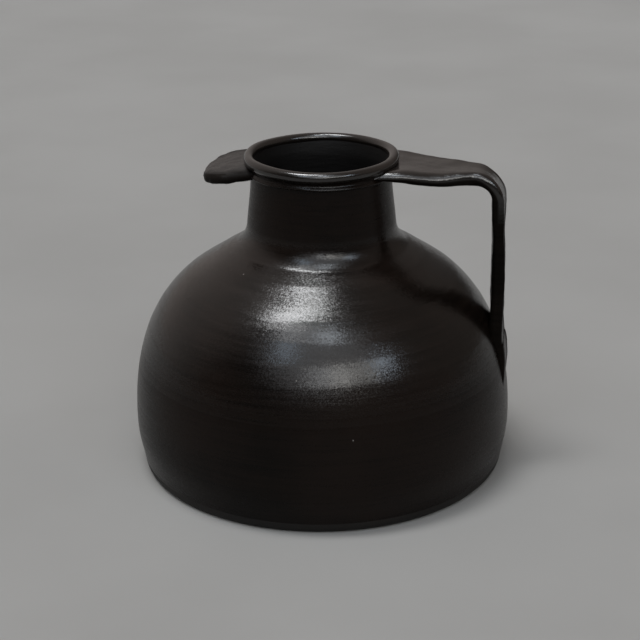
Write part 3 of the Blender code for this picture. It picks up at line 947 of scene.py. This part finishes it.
def new_material(name):
    """Material with its node tree and its shader."""
    material = bpy.data.materials.new(name)
    material.use_nodes = True
    tree = material.node_tree
    return material, tree, tree.nodes["Principled BSDF"]


def faceted(tree, place, normal, tilt):
    """Normal that differs a little from one grain of the burnished clay to the next."""
    grains = cells_at(tree, place, FACET_SCALE)["Color"]
    lean = vector_math(tree, "SUBTRACT", grains, FACET_MIDDLE)
    lean = vector_math(tree, "MULTIPLY", lean, (tilt, tilt, tilt))
    return vector_math(tree, "NORMALIZE", vector_math(tree, "ADD", normal, lean))


def pitted(tree, place, colour):
    """Colour with a few small pale pits."""
    spots = cells_at(tree, place, PIT_SCALE)
    chance = add_node(tree, "ShaderNodeSeparateColor", {0: spots["Color"]}).outputs[0]
    rare = value_math(tree, "GREATER_THAN", chance, PIT_CHANCE)
    small = ranged(tree, spots["Distance"], PIT_EDGES, (1.0, 0.0))
    return blended(tree, value_math(tree, "MULTIPLY", rare, small), colour, (*PIT_COLOUR, 1.0))


def clay_material(name, clay, shade_share=0.0):
    """Clay from burnished to dulled as painted shade: smoky colour, streaks round the jug, fine grit
    and pits.
    """
    material, tree, shader = new_material(name)
    # Painted shade: a larger share lowers the specular level and raises the roughness.
    specular = clay.burnished + (clay.shade_specular - clay.burnished) * shade_share
    roughness = clay.roughness + SHADE_ROUGHER * shade_share
    shader.inputs["Specular IOR Level"].default_value = specular
    place = add_node(tree, "ShaderNodeTexCoord").outputs["Object"]

    smoke = noise_at(tree, place, SMOKE_SCALE, SMOKE_DETAIL)
    streaks = noise_at(tree, round_the_axis(tree, place, *STREAKS), 1.0, STREAK_DETAIL)
    fine_streaks = noise_at(tree, round_the_axis(tree, place, *FINE_STREAKS), 1.0, FINE_STREAK_DETAIL)
    grit = noise_at(tree, place, GRIT_SCALE, GRIT_DETAIL)

    tint = value_math(tree, "ADD", smoke, value_math(tree, "MULTIPLY", streaks, STREAK_TINT))
    colour = blended(tree, ranged(tree, tint, TINT_LIMITS), (*clay.dark, 1.0), (*clay.warm, 1.0))
    tree.links.new(pitted(tree, place, colour), shader.inputs["Base Color"])

    streak_gloss = value_math(tree, "MULTIPLY", streaks, STREAK_GLOSS)
    grit_gloss = value_math(tree, "MULTIPLY", grit, GRIT_GLOSS)
    gloss = value_math(tree, "ADD", streak_gloss, grit_gloss)
    gloss = value_math(tree, "ADD", gloss, roughness - GLOSS_MIDDLE)
    tree.links.new(gloss, shader.inputs["Roughness"])

    fine_marks = value_math(tree, "MULTIPLY", fine_streaks, FINE_STREAK_SHARE)
    normal = bumped(tree, value_math(tree, "ADD", fine_marks, streaks), clay.streak_depth)
    normal = bumped(tree, grit, clay.grit_depth, normal)
    tree.links.new(faceted(tree, place, normal, clay.facet_tilt), shader.inputs["Normal"])
    return material


def graded_clay(name, clay):
    """Materials of one clay, from burnished to the duller copies that are painted shade."""
    return [clay_material(f"{name}_{order}", clay, order / (GRADES - 1)) for order in range(GRADES)]


def floor_material():
    """Pale matt floor with a faint mottle."""
    material, tree, shader = new_material("pale_floor")
    shader.inputs["Roughness"].default_value = FLOOR_ROUGHNESS
    shader.inputs["Specular IOR Level"].default_value = FLOOR_SPECULAR
    place = add_node(tree, "ShaderNodeTexCoord").outputs["Object"]
    share = ranged(tree, noise_at(tree, place, MOTTLE_SCALE, MOTTLE_DETAIL), MOTTLE_LIMITS)
    first, second = ((*colour, 1.0) for colour in FLOOR_COLOURS)
    tree.links.new(blended(tree, share, first, second), shader.inputs["Base Color"])
    return material


def add_camera():
    data = bpy.data.cameras.new("camera")
    data.lens = LENS
    data.sensor_width = SENSOR
    data.clip_end = VIEW_END
    camera = new_object("camera", data)
    place = Matrix.Translation((VIEW_OFFSET, -VIEW_DISTANCE, VIEW_HEIGHT))
    tilt = Matrix.Rotation(math.pi / 2 - VIEW_PITCH, 4, "X")
    roll = Matrix.Rotation(-VIEW_ROLL, 4, "Z")
    camera.matrix_world = Matrix.Rotation(VIEW_TURN, 4, "Z") @ place @ tilt @ roll
    bpy.context.scene.camera = camera


def add_floor():
    half = FLOOR_HALF
    corners = [(-half, -half, 0), (half, -half, 0), (half, half, 0), (-half, half, 0)]
    mesh = bpy.data.meshes.new("floor")
    mesh.from_pydata(corners, [], [(0, 1, 2, 3)])
    mesh.materials.append(floor_material())
    floor = new_object("floor", mesh)
    floor.location.z = -FLOOR_DROP


def direction(azimuth, elevation):
    """Direction towards a light; azimuth is turned from +X as the camera sees it."""
    around = math.radians(azimuth) + VIEW_TURN
    above = math.radians(elevation)
    flat = math.cos(above)
    return Vector((flat * math.cos(around), flat * math.sin(around), math.sin(above)))


def add_sun(name, azimuth, elevation, strength, width, colour):
    data = bpy.data.lights.new(name, "SUN")
    data.energy = strength
    data.angle = math.radians(width)
    data.color = colour
    lamp = new_object(name, data)
    lamp.rotation_mode = "QUATERNION"
    lamp.rotation_quaternion = direction(azimuth, elevation).to_track_quat("Z", "Y")


def add_world():
    """Dim surroundings, pale high in front and behind at the left, and faintly so at the right."""
    world = bpy.data.worlds.new("surroundings")
    world.use_nodes = True
    bpy.context.scene.world = world
    tree = world.node_tree
    background = tree.nodes["Background"]
    place = add_node(tree, "ShaderNodeTexCoord").outputs["Generated"]
    colour = (*DIM, 1.0)
    for azimuth, elevation, low, high, pale in GLOWS:
        towards = tuple(direction(azimuth, elevation))
        dot = add_node(tree, "ShaderNodeVectorMath", {0: place, 1: towards}, operation="DOT_PRODUCT")
        share = ranged(tree, dot.outputs["Value"], (low, high))
        colour = blended(tree, share, colour, (*pale, 1.0))
    tree.links.new(colour, background.inputs["Color"])
    background.inputs["Strength"].default_value = 1.0


def add_pieces():
    """Every piece of the jug, each in place of the solid whose name it carries."""
    wall_clays = graded_clay("wall_clay", WALL_CLAY)
    inner_clay = clay_material("inner_clay", INNER_CLAY)
    rim_clay = clay_material("rim_clay", RIM_CLAY)
    strap_clays = graded_clay("strap_clay", STRAP_CLAY)
    lug_clays = graded_clay("lug_clay", LUG_CLAY)
    base_clay = clay_material("base_clay", BASE_CLAY)

    foot_seam = seam(FOOT_SEAM)
    belly_seam = seam(BELLY_SEAM)
    dome_seam = seam(DOME_SEAM)
    neck_seam = seam(NECK_SEAM)
    floor_seam = (run_at_height(OUTSIDE, FLOOR_TOP), run_at_height(INSIDE, FLOOR_TOP))

    pieces = {
        "floor_slab": (floor_piece, (base_clay,), "base_clay"),
        "floor_fillet_coil": (fillet_coil_piece, (inner_clay,), "inner_clay"),
        "foot_course": (wall_piece, (foot_seam, floor_seam, wall_clays, inner_clay), "wall_clay"),
        "belly_course": (wall_piece, (belly_seam, foot_seam, wall_clays, inner_clay), "wall_clay"),
        "dome_course": (wall_piece, (dome_seam, belly_seam, wall_clays, inner_clay), "wall_clay"),
        "shoulder_course": (wall_piece, (neck_seam, dome_seam, wall_clays, inner_clay), "wall_clay"),
        "neck_course": (neck_piece, (neck_seam, wall_clays, inner_clay), "wall_clay"),
        # The cordon takes a middle grade of the wall clay, half dulled as painted shade.
        "neck_cordon": (cordon_piece, (wall_clays[GRADES // 2],), "wall_clay"),
        "rim_coil": (rim_piece, (rim_clay,), "handled_clay"),
        "handle_strap": (strap_piece, (strap_clays,), "handled_clay"),
        "grip_lug": (lug_piece, (lug_clays,), "handled_clay"),
    }
    for node, (make, values, slot) in pieces.items():
        piece = make("worked_" + node, *values)
        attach(piece, "root")
        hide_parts(node)


def main():
    add_pieces()
    add_camera()
    add_floor()
    add_world()
    for lamp in LAMPS:
        add_sun(*lamp)
    bpy.context.scene.view_settings.view_transform = "Standard"


main()
